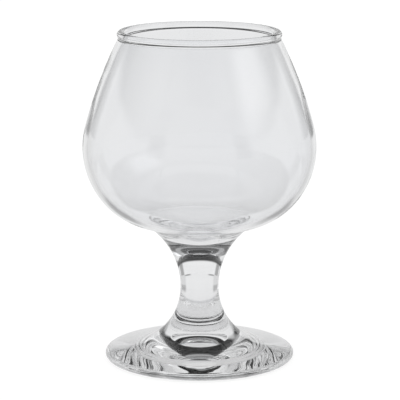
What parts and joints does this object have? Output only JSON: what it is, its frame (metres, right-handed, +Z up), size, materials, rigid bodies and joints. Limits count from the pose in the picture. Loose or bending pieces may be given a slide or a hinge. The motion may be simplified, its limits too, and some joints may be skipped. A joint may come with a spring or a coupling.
{
  "type": "brandy snifter",
  "caption": "Clear glass brandy snifter: a wide round bowl narrowing to a beaded rim, on a short waisted stem and a flat disc foot; holds a small pour of spirits.",
  "frame": {"origin": "on the axis of the glass, on the plane of the standing ring under the foot", "axes": "+Z up the axis from the foot to the rim; the glass is round, so X and Y are any two level directions at right angles"},
  "size_m": [0.089, 0.089, 0.127],
  "materials": {
    "clear_glass": "clear, fire-polished"
  },
  "bodies": {
    "root": {"bowl": "clear_glass", "stem": "clear_glass", "foot": "clear_glass"}
  },
  "joints": []
}
